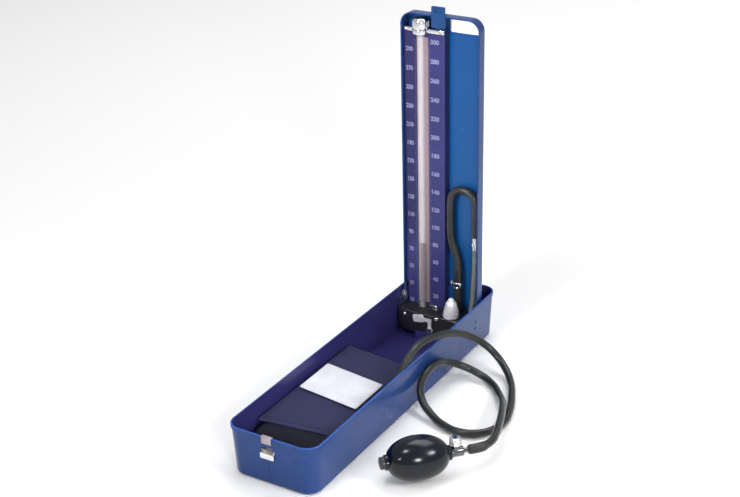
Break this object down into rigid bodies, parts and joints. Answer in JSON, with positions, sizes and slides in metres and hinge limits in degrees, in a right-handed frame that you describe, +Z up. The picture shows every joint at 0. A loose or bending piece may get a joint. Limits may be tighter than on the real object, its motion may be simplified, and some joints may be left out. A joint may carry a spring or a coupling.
{
  "type": "mercury sphygmomanometer",
  "caption": "Blood-pressure meter: a mercury column on an upright lid hinged in a long metal tray, with a stopcock, a rolled cuff, a hose, and a squeeze bulb with a release valve.",
  "frame": {"origin": "centre of the tray's flat underside, on the table", "axes": "+Z up, +Y along the tray from the latch end to the lid end, +X to the right of someone facing the scale"},
  "size_m": [0.2024, 0.3582, 0.355],
  "materials": {
    "case_enamel": "gloss enamel",
    "tongue_enamel": "gloss enamel",
    "scale_enamel": "satin enamel",
    "white_plate": "satin enamel",
    "chrome_trim": "polished",
    "bright_steel": "polished",
    "plated_steel": "zinc plated",
    "mercury": "liquid metal",
    "clear_glass": "polished",
    "black_housing": "satin moulded",
    "black_plastic": "moulded",
    "black_rubber": "satin",
    "line_rubber": "matt",
    "grey_rubber": "matt",
    "leather_disc": "matt",
    "cuff_cloth": "satin weave",
    "label_cloth": "plain weave"
  },
  "bodies": {
    "case": {"tray_shell": "case_enamel", "hinge_ears": "plated_steel", "ear_rivets": "case_enamel", "pivot_pins": "bright_steel", "lid_stop": "plated_steel", "keeper_clip": "chrome_trim", "latch_guide": "plated_steel", "latch_spring": "bright_steel", "cuff_line": "line_rubber", "cuff": "cuff_cloth", "cuff_bladder": "grey_rubber", "cuff_label": "label_cloth", "bulb_hose": "black_rubber", "bulb": "black_rubber", "inlet_valve": "black_plastic", "inlet_disc": "grey_rubber", "valve_body": "chrome_trim"},
    "latch": {"latch_button": "chrome_trim", "latch_hook": "plated_steel"},
    "knob": {"release_screw": "bright_steel", "release_knob": "chrome_trim"},
    "lid": {"lid_shell": "case_enamel", "hinge_plates": "plated_steel", "plate_rivets": "bright_steel", "lid_tongue": "tongue_enamel", "tongue_rivets": "case_enamel", "name_plate": "white_plate", "scale_plate": "scale_enamel", "tube_backing": "white_plate", "glass_tube": "clear_glass", "mercury_column": "mercury", "tube_cap": "chrome_trim", "cap_seal": "grey_rubber", "vent_filter": "leather_disc", "top_clamp": "chrome_trim", "clamp_screws": "bright_steel", "reservoir_housing": "black_housing", "housing_screws": "bright_steel", "tube_block": "plated_steel", "tube_seal": "grey_rubber", "cock_body": "plated_steel", "mercury_cup": "plated_steel", "mercury_pool": "mercury", "cup_lid": "plated_steel", "bell_cap": "chrome_trim", "air_nozzle": "chrome_trim", "nozzle_sleeve": "black_rubber", "sleeve_band": "chrome_trim", "loop_hose": "black_rubber", "line_connector": "chrome_trim"},
    "lever": {"cock_spindle": "bright_steel", "cock_lever": "chrome_trim", "cock_nut": "bright_steel"}
  },
  "joints": [
    {"name": "lid_hinge", "type": "hinge", "parent": "case", "child": "lid", "pos_m": [0, 0.14, 0.039], "axis": [1, 0, 0], "range_deg": [0, 76], "deforming": ["cuff_line"]},
    {"name": "cock_turn", "type": "hinge", "parent": "lid", "child": "lever", "pos_m": [-0.0025, 0.13, 0.015], "axis": [0, 1, 0], "range_deg": [0, 90]},
    {"name": "latch_press", "type": "slide", "parent": "case", "child": "latch", "axis": [0, 1, 0], "range_m": [0, 0.002], "stiffness_N_per_m": 400, "springref_m": -0.003, "deforming": ["latch_spring"]},
    {"name": "release_turn", "type": "hinge", "parent": "case", "child": "knob", "pos_m": [0.13175, -0.07825, 0.0285], "axis": [0, 0, 1], "range_deg": [0, 360]}
  ]
}
